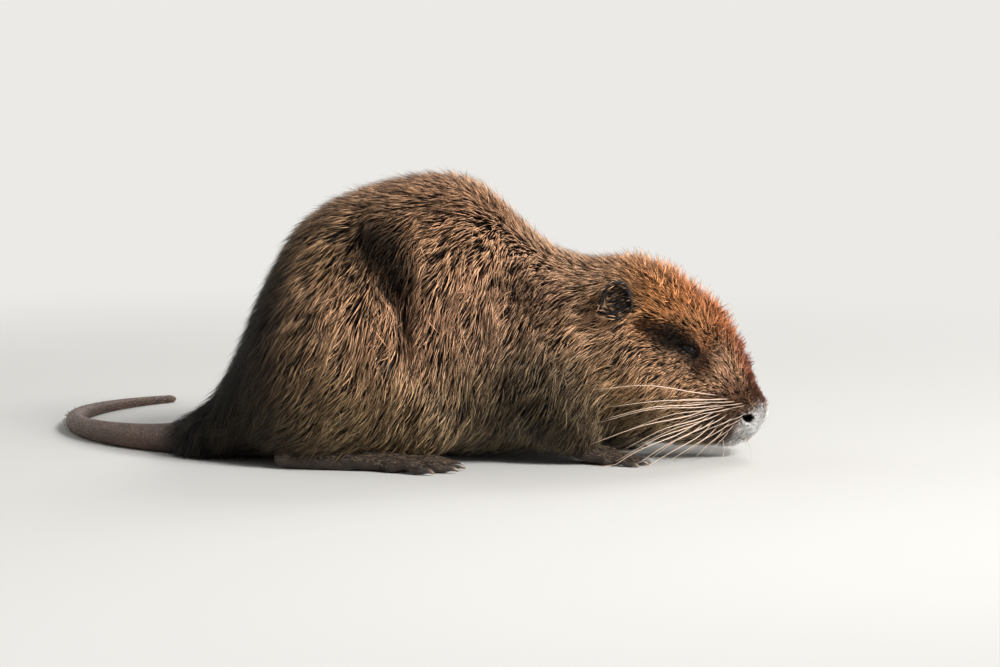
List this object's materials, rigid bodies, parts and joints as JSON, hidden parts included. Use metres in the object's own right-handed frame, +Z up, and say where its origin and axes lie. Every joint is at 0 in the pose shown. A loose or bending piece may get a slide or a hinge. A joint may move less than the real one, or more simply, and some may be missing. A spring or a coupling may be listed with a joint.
{
  "type": "coypu",
  "caption": "Life-size still model of an adult coypu crouched on all fours with a hunched back, head down to feed, and its round tail curled on the floor.",
  "frame": {"origin": "on the floor, under the middle of the whole model's box, tail included", "axes": "+X towards the head, +Y towards the animal's left, +Z up"},
  "size_m": [0.4948, 0.3682, 0.1903],
  "materials": {
    "body_fur": "dense brown fur with coarse tan-tipped guard hairs",
    "face_fur": "short rusty fur, straw-coloured on the cheeks",
    "muzzle": "short white hair round a grey-pink nose",
    "ear_skin": "dark bare skin with fine short hair",
    "foot_skin": "dark bare wrinkled skin",
    "tail_skin": "ringed scaly skin with sparse bristles",
    "eye": "glossy near-black eye",
    "claw": "dark horn"
  },
  "bodies": {
    "root": {"ear_left": "ear_skin", "ear_right": "ear_skin", "eye_left": "eye", "eye_right": "eye", "fore_claw_left_1": "claw", "fore_claw_left_2": "claw", "fore_claw_left_3": "claw", "fore_claw_left_4": "claw", "fore_claw_left_5": "claw", "fore_claw_right_1": "claw", "fore_claw_right_2": "claw", "fore_claw_right_3": "claw", "fore_claw_right_4": "claw", "fore_claw_right_5": "claw", "fore_foot_left": "foot_skin", "fore_foot_right": "foot_skin", "fore_leg_left": "body_fur", "fore_leg_right": "body_fur", "head": "face_fur", "hind_claw_left_1": "claw", "hind_claw_left_2": "claw", "hind_claw_left_3": "claw", "hind_claw_left_4": "claw", "hind_claw_left_5": "claw", "hind_claw_right_1": "claw", "hind_claw_right_2": "claw", "hind_claw_right_3": "claw", "hind_claw_right_4": "claw", "hind_claw_right_5": "claw", "hind_foot_left": "foot_skin", "hind_foot_right": "foot_skin", "hind_leg_left": "body_fur", "hind_leg_right": "body_fur", "neck": "body_fur", "nose": "muzzle", "rump": "body_fur", "tail_base": "tail_skin", "tail_end": "tail_skin", "tail_middle": "tail_skin", "trunk": "body_fur"}
  },
  "joints": []
}
